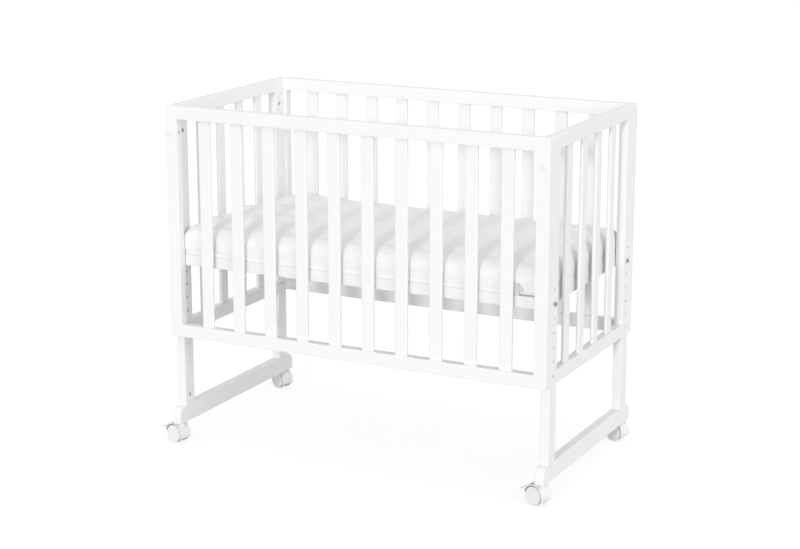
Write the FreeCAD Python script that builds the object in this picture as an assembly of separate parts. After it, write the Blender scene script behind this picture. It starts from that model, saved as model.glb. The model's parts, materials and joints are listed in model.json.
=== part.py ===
import FreeCAD, Part
import math
import os

# Bedside sleeper crib: a slatted body on two wheeled end frames, with a base and
# mattress that can be set at seven heights and a front panel that comes off.
# Lengths are in millimetres. +X runs along the crib, +Y from front to back, +Z up.
# The model is laid out from the front left corner of the body, with Z counted from
# the floor, and every piece is saved about the middle of the body's footprint.

os.makedirs("parts", exist_ok=True)

V = FreeCAD.Vector
ALONG = V(1, 0, 0)
ACROSS = V(0, 1, 0)
UP = V(0, 0, 1)

# how far a cutting shape runs past the face it opens
past = 1.0
# how far two shapes that become one piece reach into each other
weld_overlap = 0.5
# lengths and directions closer than this are the same
same = 1e-6

# ---------------------------------------------------------------- body
body_length = 950.0
body_width = 520.0
body_height = 545.0
body_floor_gap = 267.0

# ---------------------------------------------------------------- panels
panel_thickness = 22.0
stile_width = 30.0
panel_rail_height = 30.0
panel_corner_radius = 5.0
edge_round = 1.5
slat_width = 30.0
slat_thickness = 8.0
slat_edge_round = 2.5
slat_tenon = 10.0
long_slat_count = 10
end_slat_count = 4
joint_clearance = 0.1

# ---------------------------------------------------------------- end frames
leg_thickness = 21.0
leg_width = 38.0
end_rail_height = 30.0
foot_rail_height = 41.0
foot_rail_overhang = 4.5
foot_nose_front_radius = 26.0
foot_nose_back_radius = 20.0
foot_nose_bottom_radius = 4.0

# ---------------------------------------------------------------- height holes
height_hole_count = 7
height_hole_pitch = 32.0
height_hole_clearance = 0.5
first_hole_height = 21.5
base_hole_number = 5

# ---------------------------------------------------------------- base
base_side_gap = 2.0
base_end_gap = 1.0
base_bar_height = 26.0
base_bar_thickness = 20.0
base_slat_count = 9
base_slat_width = 60.0
base_slat_thickness = 8.0
base_slat_seat = 10.0

# ---------------------------------------------------------------- mattress
mattress_end_gap = 4.0
mattress_side_gap = 13.0
mattress_thickness = 60.0
mattress_crown = 4.0
mattress_draw_in = 3.0
mattress_plan_radius = 45.0
mattress_edge_radius = 27.0
mattress_side_run = 1.4
mattress_crown_least = 0.5
mattress_rest_gap = 0.2
mattress_end_stations = 8
mattress_middle_stations = 4
label_width = 17.0
label_height = 27.0
label_thickness = 0.8
label_from_end = 52.0

# ---------------------------------------------------------------- fasteners
bolt_diameter = 6.0
bolt_clearance = 0.3
bolt_head_diameter = 13.0
bolt_head_height = 4.5
bolt_head_round = 0.8
bolt_tip_round = 0.6
bolt_socket_flats = 4.0
bolt_socket_depth = 2.5
thread_clearance = 0.05
counterbore_clearance = 0.3
panel_counterbore_depth = 7.5
foot_counterbore_depth = 8.0
barrel_nut_diameter = 10.0
barrel_nut_length = 14.0
barrel_nut_clearance = 0.15
nut_slot_length = 8.0
nut_slot_width = 1.4
nut_slot_depth = 1.5
bolt_past_nut = 4.0
panel_bolt_drop = 62.0
foot_nut_height = 23.0
cap_diameter = 17.0
cap_height = 2.2
cap_rim_height = 0.6
cap_edge_round = 0.6
cap_plug_length = 2.0
stile_hole_diameter = 7.0
stile_hole_depth = 12.0
dowel_diameter = 8.0
rail_dowel_length = 40.0
rail_dowel_in_stile = 18.0
dowel_in_leg = 14.0
dowel_offset = 8.0
locating_dowel_height = 37.5
locating_dowel_in_stile = 14.0
locating_dowel_in_leg = 14.0
base_bolt_head_diameter = 10.0
base_bolt_head_height = 4.0
base_bolt_head_gap = 0.1
insert_diameter = 9.0
insert_length = 13.0
base_bolt_in_bar = 14.0
base_dowel_length = 36.0
base_dowel_in_end_bar = 16.0
base_dowel_offset = 6.0

# ---------------------------------------------------------------- casters
caster_inset = 22.0
wheel_diameter = 44.0
wheel_width = 10.0
wheel_inner_face = 6.7
wheel_edge_round = 2.0
wheel_trail = 13.0
wheel_hub_diameter = 12.0
wheel_face_thickness = 2.5
axle_diameter = 4.0
axle_end_gap = 0.4
running_clearance = 0.05
press_clearance = 0.02
hood_gap = 1.2
hood_top_gap = 2.8
hood_side_proud = 0.3
hood_wall = 2.0
hood_web_width = 6.0
hood_web_gap = 0.4
hood_web_hub_diameter = 12.0
hood_web_start_angle = 78.0
hood_web_end_angle = 195.0
hood_trailing_angle = 12.0
hood_leading_angle = 205.0
hood_edge_round = 0.8
boss_side_gap = 0.5
boss_bottom = 14.0
stem_diameter = 8.0
stem_bottom = 18.0
stem_in_rail = 30.0
stem_tip_round = 1.0
stem_collar_diameter = 12.0
stem_collar_height = 1.0
stem_collar_gap = 0.2
socket_diameter = 11.0
socket_depth = 34.0
socket_flange_diameter = 16.0
socket_flange_height = 1.2
brake_window_start = 25.0
brake_window_end = 75.0
brake_window_over_wheel = 2.3
brake_pivot_angle = 62.0
brake_pivot_rise = 1.2
brake_hub_diameter = 4.8
brake_pin_diameter = 3.0
brake_side_gap = 0.4
brake_ear_width = 2.6
brake_ear_diameter = 5.6
brake_slope = 30.0
brake_length = 33.0
brake_plate_thickness = 3.0
brake_plate_half_width = 11.5
brake_wide_from = 9.0
brake_tip_round = 2.5
brake_tip_taper = 1.0
brake_pad_angle = 45.0
brake_pad_thickness = 4.0
brake_pad_gap = 0.4
brake_pad_inset = 0.2

# name, end (0 left, 1 right), side (0 front, 1 back), direction the wheels trail
casters = [
    ("front_left", 0, 0, 168.0),
    ("front_right", 1, 0, 163.0),
    ("back_left", 0, 1, 160.0),
    ("back_right", 1, 1, 168.0),
]

# ---------------------------------------------------------------- worked out
body_bottom = body_floor_gap
body_top = body_floor_gap + body_height
middle = V(body_length / 2, body_width / 2, 0)
leg_front = panel_thickness
leg_back = panel_thickness + leg_width
leg_centre_x = leg_thickness / 2
leg_centre_y = panel_thickness + leg_width / 2
wheel_radius = wheel_diameter / 2
wheel_outer_face = wheel_inner_face + wheel_width
hood_inner = wheel_radius + hood_gap
hood_outer = hood_inner + hood_wall
caster_height = wheel_radius + hood_outer + hood_top_gap
caster_half_width = wheel_outer_face + hood_side_proud
boss_diameter = 2 * (wheel_inner_face - boss_side_gap)
boss_top = caster_height - socket_flange_height - stem_collar_height - 2 * stem_collar_gap
brake_window_half_width = wheel_inner_face + brake_window_over_wheel
brake_half_width = brake_window_half_width - brake_side_gap
brake_pivot_radius = hood_outer + brake_pivot_rise
foot_rail_bottom = caster_height
foot_rail_top = caster_height + foot_rail_height
foot_rail_front = -foot_rail_overhang
foot_rail_back = body_width + foot_rail_overhang
window_bottom = body_bottom + panel_rail_height
window_top = body_top - panel_rail_height
end_window_bottom = body_bottom + end_rail_height
end_window_top = body_top - end_rail_height
bolt_hole_diameter = bolt_diameter + 2 * bolt_clearance
height_hole_diameter = bolt_diameter + 2 * height_hole_clearance
counterbore_diameter = bolt_head_diameter + 2 * counterbore_clearance
nut_bore = bolt_diameter + 2 * thread_clearance
nut_hole_diameter = barrel_nut_diameter + 2 * barrel_nut_clearance
dowel_hole_diameter = dowel_diameter + 2 * joint_clearance
panel_bolt_z = body_top - panel_bolt_drop
foot_nut_z = foot_rail_top + foot_nut_height
base_centre_z = body_bottom + first_hole_height + base_hole_number * height_hole_pitch
base_bottom = base_centre_z - base_bar_height / 2
base_top = base_centre_z + base_bar_height / 2
base_front = panel_thickness + base_side_gap
base_left = leg_thickness + base_end_gap
mattress_length = body_length - 2 * (leg_thickness + mattress_end_gap)
mattress_width = body_width - 2 * (panel_thickness + mattress_side_gap)


# ---------------------------------------------------------------- shape helpers
def box(x0, x1, y0, y1, z0, z1):
    """A block between two corners."""
    return Part.makeBox(x1 - x0, y1 - y0, z1 - z0, V(x0, y0, z0))


def rod(diameter, start, direction, length):
    """A round bar, also used to drill holes."""
    return Part.makeCylinder(diameter / 2, length, start, direction)


def mirrored_along(shape):
    """The same piece at the other end of the crib."""
    return shape.mirror(middle, ALONG)


def mirrored_across(shape):
    """The same piece on the other long side."""
    return shape.mirror(middle, ACROSS)


def all_corners(shape):
    """The piece at the front left, front right, back left and back right corner."""
    right = mirrored_along(shape)
    return [shape, right, mirrored_across(shape), mirrored_across(right)]


def runs_along(edge, axis):
    """Whether an edge is straight and lies along an axis."""
    if not isinstance(edge.Curve, (Part.Line, Part.LineSegment)):
        return False
    run = edge.Vertexes[-1].Point - edge.Vertexes[0].Point
    return run.Length > 0 and abs(abs(run.normalize().dot(axis)) - 1) < same


def in_plane(edge, axis, value):
    """Whether a whole edge lies in the plane where the axis has this value."""
    spots = [edge.valueAt(t) for t in (edge.FirstParameter, edge.LastParameter)]
    spots.append(edge.CenterOfMass)
    return all(abs(spot.dot(axis) - value) < same for spot in spots)


def rounded(shape, radius, wanted):
    """The shape with a fillet on each edge that the test picks."""
    return shape.makeFillet(radius, [edge for edge in shape.Edges if wanted(edge)])


def rounded_bar(x0, x1, y0, y1, z0, z1, axis, radius):
    """A bar with its four long edges rounded and its ends left square."""
    return rounded(box(x0, x1, y0, y1, z0, z1), radius, lambda edge: runs_along(edge, axis))


def single(shape):
    """The one solid that a cut or a common leaves."""
    return shape.Solids[0]


def turned(outline, centre):
    """The solid that a closed outline sweeps in a full turn about a line along Y."""
    face = Part.Face(Part.Wire([edge.toShape() for edge in outline]))
    return single(face.revolve(centre, ACROSS, 360))


def save(name, *solids):
    """Write one node, moved so that the middle of the footprint is the origin."""
    shape = solids[0] if len(solids) == 1 else Part.makeCompound(list(solids))
    shape = shape.copy()
    shape.translate(-middle)
    if not shape.isValid():
        print("not valid:", name)
    shape.exportStep("parts/" + name + ".step")
    print(name, len(shape.Solids), "solids", round(shape.Volume / 1000, 1), "cm3")


# ---------------------------------------------------------------- slatted panels
def slat_starts(first, last, count, width):
    """Where each slat begins, with equal gaps between them and at both ends."""
    gap = (last - first - count * width) / (count + 1)
    return [first + gap + index * (width + gap) for index in range(count)]


def long_slat_blocks(grow):
    """The slats of the front panel, grown all round by a clearance."""
    starts = slat_starts(stile_width, body_length - stile_width, long_slat_count, slat_width)
    front = (panel_thickness - slat_thickness) / 2
    blocks = []
    for start in starts:
        blocks.append(
            rounded_bar(
                start - grow,
                start + slat_width + grow,
                front - grow,
                front + slat_thickness + grow,
                window_bottom - slat_tenon - grow,
                window_top + slat_tenon + grow,
                UP,
                slat_edge_round,
            )
        )
    return blocks


def long_panel_frame():
    """Stiles and rails of the front panel as one sanded frame, before it is parted."""
    frame = box(0, body_length, 0, panel_thickness, body_bottom, body_top)
    frame = rounded(frame, panel_corner_radius, lambda edge: runs_along(edge, ACROSS))
    window = box(
        stile_width,
        body_length - stile_width,
        -past,
        panel_thickness + past,
        window_bottom,
        window_top,
    )
    return rounded(
        frame.cut(window),
        edge_round,
        lambda edge: in_plane(edge, ACROSS, 0) or in_plane(edge, ACROSS, panel_thickness),
    )


def long_rail_dowels(diameter, grow):
    """The pairs of dowels that join the rails of the front panel to its left stile."""
    dowels = []
    for rail_centre in (
        body_bottom + panel_rail_height / 2,
        body_top - panel_rail_height / 2,
    ):
        for offset in (-dowel_offset, dowel_offset):
            start = V(
                stile_width - rail_dowel_in_stile - grow,
                panel_thickness / 2,
                rail_centre + offset,
            )
            dowels.append(rod(diameter, start, ALONG, rail_dowel_length + 2 * grow))
    return dowels + [mirrored_along(dowel) for dowel in dowels]


def locating_dowels(diameter, grow):
    """The two dowels low in the front panel that plug into the legs."""
    start = V(
        leg_centre_x,
        panel_thickness - locating_dowel_in_stile - grow,
        body_bottom + locating_dowel_height,
    )
    length = locating_dowel_in_stile + locating_dowel_in_leg + 2 * grow
    dowel = rod(diameter, start, ACROSS, length)
    return [dowel, mirrored_along(dowel)]


def hex_socket(tip, direction, flats, depth):
    """A hexagonal recess, from the face of a bolt head inwards."""
    radius = flats / math.sqrt(3)
    side = ALONG if abs(direction.dot(ALONG)) < 0.5 else ACROSS
    other = direction.cross(side)
    corners = []
    for step in range(6):
        turn = math.radians(60 * step)
        corners.append(tip + side * (radius * math.cos(turn)) + other * (radius * math.sin(turn)))
    return Part.Face(Part.makePolygon(corners + corners[:1])).extrude(direction * depth)


def bolt(head_face, direction, head_diameter, head_height, length):
    """A bolt with a hexagonal socket. The head's outer face is at head_face."""

    def at_run(edge, run):
        return abs((edge.CenterOfMass - head_face).dot(direction) - run) < same

    head = rod(head_diameter, head_face, direction, head_height)
    head = rounded(head, bolt_head_round, lambda edge: at_run(edge, 0))
    shank = rod(bolt_diameter, head_face + direction * head_height, direction, length)
    shank = rounded(
        shank,
        bolt_tip_round,
        lambda edge: at_run(edge, head_height + length) and not runs_along(edge, direction),
    )
    whole = head.fuse(shank)
    return single(whole.cut(hex_socket(head_face, direction, bolt_socket_flats, bolt_socket_depth)))


def panel_bolt():
    """The bolt through the left stile of the front panel into the leg's barrel nut."""
    head_face = V(leg_centre_x, panel_counterbore_depth - bolt_head_height, panel_bolt_z)
    length = leg_centre_y + barrel_nut_diameter / 2 + bolt_past_nut - panel_counterbore_depth
    return bolt(head_face, ACROSS, bolt_head_diameter, bolt_head_height, length)


def panel_cap():
    """The domed cover over that bolt's head, with a plug that sits in the counterbore."""
    rim = cap_diameter / 2
    plug = counterbore_diameter / 2 - joint_clearance
    soft = cap_edge_round
    bend = soft * (1 - math.sqrt(0.5))
    crown_reach = rim - soft
    crown_height = cap_height - cap_rim_height - soft
    crown_radius = (crown_reach**2 + crown_height**2) / (2 * crown_height)
    half_turn = math.asin(crown_reach / crown_radius) / 2
    crown_sag = crown_radius * (1 - math.cos(half_turn))

    def spot(radius, height):
        return V(radius, -height, 0)

    outline = [
        Part.LineSegment(spot(0, -cap_plug_length), spot(plug, -cap_plug_length)),
        Part.LineSegment(spot(plug, -cap_plug_length), spot(plug, 0)),
        Part.LineSegment(spot(plug, 0), spot(rim, 0)),
        Part.LineSegment(spot(rim, 0), spot(rim, cap_rim_height)),
        Part.Arc(
            spot(rim, cap_rim_height),
            spot(rim - bend, cap_rim_height + soft - bend),
            spot(crown_reach, cap_rim_height + soft),
        ),
        Part.Arc(
            spot(crown_reach, cap_rim_height + soft),
            spot(crown_radius * math.sin(half_turn), cap_height - crown_sag),
            spot(0, cap_height),
        ),
        Part.LineSegment(spot(0, cap_height), spot(0, -cap_plug_length)),
    ]
    cap = turned(outline, V(0, 0, 0))
    cap.translate(V(leg_centre_x, 0, panel_bolt_z))
    return cap


def long_stile(has_edge_hole):
    """The left stile of a long panel, drawn at the front. Only the front panel's has an edge hole."""
    stile = long_panel_frame().common(
        box(-past, stile_width, -past, panel_thickness + past, body_bottom - past, body_top + past)
    )
    hole_start = V(leg_centre_x, -past, panel_bolt_z)
    cuts = [
        rod(bolt_hole_diameter, hole_start, ACROSS, panel_thickness + 2 * past),
        rod(counterbore_diameter, hole_start, ACROSS, panel_counterbore_depth + past),
    ]
    if has_edge_hole:
        start = V(stile_width - stile_hole_depth, panel_thickness / 2, panel_bolt_z)
        cuts.append(rod(stile_hole_diameter, start, ALONG, stile_hole_depth + past))
    cuts += long_rail_dowels(dowel_hole_diameter, joint_clearance)
    cuts += locating_dowels(dowel_hole_diameter, joint_clearance)
    return single(stile.cut(cuts))


def long_rail(bottom, top):
    """A rail of the front panel, mortised for the slats."""
    rail = long_panel_frame().common(
        box(stile_width, body_length - stile_width, -past, panel_thickness + past, bottom, top)
    )
    cuts = long_slat_blocks(joint_clearance) + long_rail_dowels(dowel_hole_diameter, joint_clearance)
    return single(rail.cut(cuts))


# ---------------------------------------------------------------- end frames
def end_slat_blocks(grow):
    """The slats of the left end, grown all round by a clearance."""
    starts = slat_starts(leg_back, body_width - leg_back, end_slat_count, slat_width)
    left = (leg_thickness - slat_thickness) / 2
    blocks = []
    for start in starts:
        blocks.append(
            rounded_bar(
                left - grow,
                left + slat_thickness + grow,
                start - grow,
                start + slat_width + grow,
                end_window_bottom - slat_tenon - grow,
                end_window_top + slat_tenon + grow,
                UP,
                slat_edge_round,
            )
        )
    return blocks


def end_frame():
    """Both legs and both rails of the left end as one sanded frame, before it is parted."""
    frame = box(0, leg_thickness, leg_front, body_width - leg_front, foot_rail_top, body_top)
    inner_front = leg_back
    inner_back = body_width - leg_back
    frame = frame.cut(
        box(-past, leg_thickness + past, inner_front, inner_back, end_window_bottom, end_window_top)
    )
    frame = frame.cut(
        box(-past, leg_thickness + past, inner_front, inner_back, foot_rail_top - past, body_bottom)
    )
    return rounded(
        frame,
        edge_round,
        lambda edge: (in_plane(edge, ALONG, 0) or in_plane(edge, ALONG, leg_thickness))
        and not in_plane(edge, UP, foot_rail_top),
    )


def end_rail_dowels(diameter, grow):
    """The pairs of dowels between the left end's rails and its front leg."""
    dowels = []
    for rail_centre in (body_bottom + end_rail_height / 2, body_top - end_rail_height / 2):
        for offset in (-dowel_offset, dowel_offset):
            start = V(leg_centre_x, leg_back - dowel_in_leg - grow, rail_centre + offset)
            dowels.append(rod(diameter, start, ACROSS, rail_dowel_length + 2 * grow))
    return dowels + [mirrored_across(dowel) for dowel in dowels]


def barrel_nut_hole(height):
    """The blind hole for a barrel nut, from the leg's inner face."""
    floor = leg_centre_x - barrel_nut_length / 2 - barrel_nut_clearance
    return rod(nut_hole_diameter, V(floor, leg_centre_y, height), ALONG, leg_thickness + past - floor)


def barrel_nut(height, bolt_direction):
    """A cross-drilled cylinder in the leg, with a screwdriver slot in its end."""
    start = V(leg_centre_x - barrel_nut_length / 2, leg_centre_y, height)
    nut = rod(barrel_nut_diameter, start, ALONG, barrel_nut_length)
    bore_start = V(leg_centre_x, leg_centre_y, height) - bolt_direction * barrel_nut_diameter
    end = start.x + barrel_nut_length
    slot = box(
        end - nut_slot_depth,
        end + past,
        leg_centre_y - nut_slot_length / 2,
        leg_centre_y + nut_slot_length / 2,
        height - nut_slot_width / 2,
        height + nut_slot_width / 2,
    )
    return single(nut.cut([rod(nut_bore, bore_start, bolt_direction, 2 * barrel_nut_diameter), slot]))


def height_holes():
    """The row of holes through the front left leg that set the base's height."""
    holes = []
    for number in range(height_hole_count):
        height = body_bottom + first_hole_height + number * height_hole_pitch
        start = V(-past, leg_centre_y, height)
        holes.append(rod(height_hole_diameter, start, ALONG, leg_thickness + 2 * past))
    return holes


def front_left_leg():
    """The front left leg, drilled for the panel, the rails, the base and the foot."""
    leg = end_frame().common(
        box(-past, leg_thickness + past, leg_front - past, leg_back, foot_rail_top, body_top + past)
    )
    panel_bolt_end = leg_centre_y + barrel_nut_diameter / 2 + bolt_past_nut + past
    foot_bolt_end = foot_nut_z + barrel_nut_diameter / 2 + bolt_past_nut + past
    cuts = height_holes()
    cuts += end_rail_dowels(dowel_hole_diameter, joint_clearance)
    cuts += locating_dowels(dowel_hole_diameter, joint_clearance)
    cuts += [
        rod(bolt_hole_diameter, V(leg_centre_x, 0, panel_bolt_z), ACROSS, panel_bolt_end),
        rod(bolt_hole_diameter, V(leg_centre_x, leg_centre_y, 0), UP, foot_bolt_end),
        barrel_nut_hole(panel_bolt_z),
        barrel_nut_hole(foot_nut_z),
    ]
    return single(leg.cut(cuts))


def end_rail(bottom, top):
    """A rail of the left end, mortised for the slats."""
    rail = end_frame().common(
        box(-past, leg_thickness + past, leg_back, body_width - leg_back, bottom, top)
    )
    cuts = end_slat_blocks(joint_clearance) + end_rail_dowels(dowel_hole_diameter, joint_clearance)
    return single(rail.cut(cuts))


def caster_place(end, side):
    """The point on the floor under a caster's stem."""
    x = body_length - leg_centre_x if end else leg_centre_x
    y = foot_rail_back - caster_inset if side else foot_rail_front + caster_inset
    return V(x, y, 0)


def foot_rail():
    """The rail under the left end's legs, with rounded noses."""
    rail = box(0, leg_thickness, foot_rail_front, foot_rail_back, foot_rail_bottom, foot_rail_top)

    def corner(y, z):
        return lambda edge: in_plane(edge, ACROSS, y) and in_plane(edge, UP, z)

    rail = rounded(rail, foot_nose_front_radius, corner(foot_rail_front, foot_rail_top))
    rail = rounded(rail, foot_nose_back_radius, corner(foot_rail_back, foot_rail_top))
    rail = rounded(rail, foot_nose_bottom_radius, corner(foot_rail_front, foot_rail_bottom))
    rail = rounded(rail, foot_nose_bottom_radius, corner(foot_rail_back, foot_rail_bottom))
    rail = rounded(
        rail,
        edge_round,
        lambda edge: in_plane(edge, ALONG, 0) or in_plane(edge, ALONG, leg_thickness),
    )
    cuts = []
    for y in (leg_centre_y, body_width - leg_centre_y):
        start = V(leg_centre_x, y, foot_rail_bottom - past)
        cuts.append(rod(bolt_hole_diameter, start, UP, foot_rail_height + 2 * past))
        cuts.append(rod(counterbore_diameter, start, UP, foot_counterbore_depth + past))
    for side in (0, 1):
        start = caster_place(0, side) + UP * (foot_rail_bottom - past)
        cuts.append(rod(socket_diameter + 2 * joint_clearance, start, UP, socket_depth + past))
    return single(rail.cut(cuts))


def foot_bolt():
    """The bolt from under the foot rail up into the front left leg's barrel nut."""
    head_face = V(leg_centre_x, leg_centre_y, foot_rail_bottom + foot_counterbore_depth - bolt_head_height)
    top = foot_nut_z + barrel_nut_diameter / 2 + bolt_past_nut
    length = top - foot_rail_bottom - foot_counterbore_depth
    return bolt(head_face, UP, bolt_head_diameter, bolt_head_height, length)


# ---------------------------------------------------------------- base
def base_slat_positions():
    """Where each base slat begins along the crib."""
    first = base_left + base_bar_thickness
    return slat_starts(first, body_length - first, base_slat_count, base_slat_width)


def base_slats():
    """The cross slats, let into the tops of the two side bars."""
    seat = base_front + base_bar_thickness - base_slat_seat
    slats = []
    for start in base_slat_positions():
        slats.append(
            rounded_bar(
                start,
                start + base_slat_width,
                seat,
                body_width - seat,
                base_top - base_slat_thickness,
                base_top,
                ACROSS,
                edge_round,
            )
        )
    return slats


def base_corner_dowels(diameter, grow):
    """The pair of dowels at the base's front left corner, then at the other three."""
    dowels = []
    for offset in (-base_dowel_offset, base_dowel_offset):
        start = V(
            base_left + base_bar_thickness - base_dowel_in_end_bar - grow,
            base_front + base_bar_thickness / 2,
            base_centre_z + offset,
        )
        dowels += all_corners(rod(diameter, start, ALONG, base_dowel_length + 2 * grow))
    return dowels


def base_side_bar():
    """The front bar of the base, notched for the slats."""
    start = base_left + base_bar_thickness
    bar = rounded_bar(
        start,
        body_length - start,
        base_front,
        base_front + base_bar_thickness,
        base_bottom,
        base_top,
        ALONG,
        edge_round,
    )
    seat = base_front + base_bar_thickness - base_slat_seat - joint_clearance
    cuts = base_corner_dowels(dowel_hole_diameter, joint_clearance)
    for slat in base_slat_positions():
        cuts.append(
            box(
                slat - joint_clearance,
                slat + base_slat_width + joint_clearance,
                seat,
                base_front + base_bar_thickness + past,
                base_top - base_slat_thickness - joint_clearance,
                base_top + past,
            )
        )
    return single(bar.cut(cuts))


def base_end_bar():
    """The left end bar of the base, drilled for its two inserts."""
    bar = rounded_bar(
        base_left,
        base_left + base_bar_thickness,
        base_front,
        body_width - base_front,
        base_bottom,
        base_top,
        ACROSS,
        edge_round,
    )
    cuts = base_corner_dowels(dowel_hole_diameter, joint_clearance)
    for y in (leg_centre_y, body_width - leg_centre_y):
        start = V(base_left - past, y, base_centre_z)
        depth = base_bolt_in_bar + 2 * past
        cuts.append(rod(insert_diameter + 2 * joint_clearance, start, ALONG, depth))
    return single(bar.cut(cuts))


def base_insert():
    """The threaded insert in the base for the front left bolt."""
    start = V(base_left + joint_clearance, leg_centre_y, base_centre_z)
    insert = rod(insert_diameter, start, ALONG, insert_length)
    return single(insert.cut(rod(nut_bore, start - ALONG * past, ALONG, insert_length + 2 * past)))


def base_bolt():
    """The bolt through the front left leg into the base, its head outside the leg."""
    head_face = V(-base_bolt_head_height - base_bolt_head_gap, leg_centre_y, base_centre_z)
    length = base_left + base_bolt_in_bar + base_bolt_head_gap
    return bolt(head_face, ALONG, base_bolt_head_diameter, base_bolt_head_height, length)


# ---------------------------------------------------------------- mattress
def mattress_half_width(distance):
    """Half the mattress's width at a distance from its middle, drawn in and round at the corners."""
    half = mattress_width / 2 - mattress_draw_in * math.cos(math.pi * distance / mattress_length)
    into_corner = abs(distance) - (mattress_length / 2 - mattress_plan_radius)
    return half - set_back(into_corner, mattress_plan_radius)


def set_back(run, radius):
    """How far a round edge lies inside the square one, at a run past the start of the round."""
    if run <= 0:
        return 0.0
    return radius - math.sqrt(max(radius**2 - run**2, 0.0))


def mattress_section(distance):
    """The mattress's closed outline at a distance from its middle, square to its length."""
    into_edge = abs(distance) - (mattress_length / 2 - mattress_edge_radius)
    inset = set_back(into_edge, mattress_edge_radius)
    half = mattress_half_width(distance)
    bottom = base_top + mattress_rest_gap
    low = bottom + inset
    high = bottom + mattress_thickness - inset
    level = (low + high) / 2
    reach = (high - low) / 2
    run = min(mattress_edge_radius, mattress_side_run * reach)
    crown = mattress_crown_least + mattress_crown * math.cos(math.pi * distance / mattress_length)
    diagonal = math.sqrt(0.5)
    flat = half - run
    side = flat + run * diagonal
    lower = level - reach * diagonal
    upper = level + reach * diagonal
    x = body_length / 2 + distance

    def spot(across, height):
        return V(x, body_width / 2 + across, height)

    edges = [
        Part.LineSegment(spot(-flat, low), spot(flat, low)),
        Part.Arc(spot(flat, low), spot(side, lower), spot(half, level)),
        Part.Arc(spot(half, level), spot(side, upper), spot(flat, high)),
        Part.Arc(spot(flat, high), spot(0, high + crown), spot(-flat, high)),
        Part.Arc(spot(-flat, high), spot(-side, upper), spot(-half, level)),
        Part.Arc(spot(-half, level), spot(-side, lower), spot(-flat, low)),
    ]
    return Part.Wire([edge.toShape() for edge in edges])


def mattress():
    """The mattress: crowned, with rounded edges and sides drawn in a little."""
    end = mattress_length / 2
    stations = []
    for step in range(mattress_end_stations):
        turn = math.radians(90 * step / (mattress_end_stations - 1))
        stations.append(end - mattress_edge_radius * (1 - math.cos(turn)))
    inner = end - mattress_plan_radius
    stations += [inner * (1 - step / mattress_middle_stations) for step in range(mattress_middle_stations)]
    mirrored = [-station for station in stations]
    wires = [mattress_section(distance) for distance in mirrored + [0.0] + stations[::-1]]
    return Part.makeLoft(wires, True, True)


def mattress_label():
    """The blank label sewn to the front edge near the right end."""
    right = mattress_length / 2 - label_from_end
    back = body_width / 2 - mattress_half_width(right)
    low = base_top + 2 * mattress_rest_gap
    return box(
        body_length / 2 + right - label_width,
        body_length / 2 + right,
        back - label_thickness,
        back,
        low,
        low + label_height,
    )


# ---------------------------------------------------------------- casters
# A caster is laid out about its stem, wheels trailing along +X and axle along Y,
# then turned to its direction and set in place.
wheel_centre = V(wheel_trail, 0, wheel_radius)
# the largest angle between two corners of a wedge's outline
sector_step = 30.0


def polar(radius, angle, across=0.0):
    """A point at an angle round the wheel centre, counted from the trailing side up."""
    turn = math.radians(angle)
    return wheel_centre + V(radius * math.cos(turn), across, radius * math.sin(turn))


def sector(start, end, half_width, radius):
    """A wedge round the wheel centre between two angles."""
    steps = max(2, math.ceil((end - start) / sector_step))
    corners = [wheel_centre - ACROSS * half_width]
    for index in range(steps + 1):
        corners.append(polar(radius, start + (end - start) * index / steps, -half_width))
    face = Part.Face(Part.makePolygon(corners + corners[:1]))
    return face.extrude(ACROSS * (2 * half_width))


def ring(inner, outer, half_width):
    """A band round the wheel centre."""
    start = wheel_centre - ACROSS * half_width
    hole = rod(2 * inner, start - ACROSS * past, ACROSS, 2 * (half_width + past))
    return rod(2 * outer, start, ACROSS, 2 * half_width).cut(hole)


def caster_hood():
    """Mudguard, centre web, stem boss and the two ears for the brake lever."""
    far = 3 * hood_outer
    guard = ring(hood_inner, hood_outer, caster_half_width)
    guard = guard.common(sector(hood_trailing_angle, hood_leading_angle, caster_half_width, far))
    outer_arcs = [
        edge
        for edge in guard.Edges
        if isinstance(edge.Curve, Part.Circle) and abs(edge.Curve.Radius - hood_outer) < same
    ]
    guard = guard.makeFillet(hood_edge_round, outer_arcs)
    window = sector(brake_window_start, brake_window_end, brake_window_half_width, far)
    guard = guard.cut(window)
    web_start = -ACROSS * (hood_web_width / 2)
    web = rod(2 * (hood_inner + weld_overlap), wheel_centre + web_start, ACROSS, hood_web_width)
    web = web.common(sector(hood_web_start_angle, hood_web_end_angle, hood_web_width / 2, far))
    web_hub = rod(hood_web_hub_diameter, wheel_centre + web_start, ACROSS, hood_web_width)
    boss = rod(boss_diameter, UP * boss_bottom, UP, boss_top - boss_bottom)
    hood = guard.fuse([web, web_hub, boss])
    for side in (-1, 1):
        inner = side * brake_window_half_width
        pivot = polar(brake_pivot_radius, brake_pivot_angle, inner)
        ear = rod(brake_ear_diameter, pivot, ACROSS * side, brake_ear_width)
        hood = hood.fuse(ear)
    pin_start = polar(brake_pivot_radius, brake_pivot_angle, -caster_half_width)
    stem_hole = stem_diameter + 2 * press_clearance
    axle_start = wheel_centre - ACROSS * caster_half_width
    hood = hood.cut(
        [
            rod(brake_pin_diameter + 2 * running_clearance, pin_start, ACROSS, 2 * caster_half_width),
            rod(stem_hole, UP * stem_bottom, UP, boss_top),
            rod(axle_diameter + 2 * press_clearance, axle_start, ACROSS, 2 * caster_half_width),
        ]
    )
    return single(hood)


def caster_stem():
    """The steel pin that plugs into the foot rail, with its collar."""
    bottom = stem_bottom + stem_collar_gap
    top = caster_height + stem_in_rail
    pin = rod(stem_diameter, UP * bottom, UP, top - bottom)
    pin = rounded(pin, stem_tip_round, lambda edge: in_plane(edge, UP, top))
    collar = rod(stem_collar_diameter, UP * (boss_top + stem_collar_gap), UP, stem_collar_height)
    return single(pin.fuse(collar))


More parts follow.
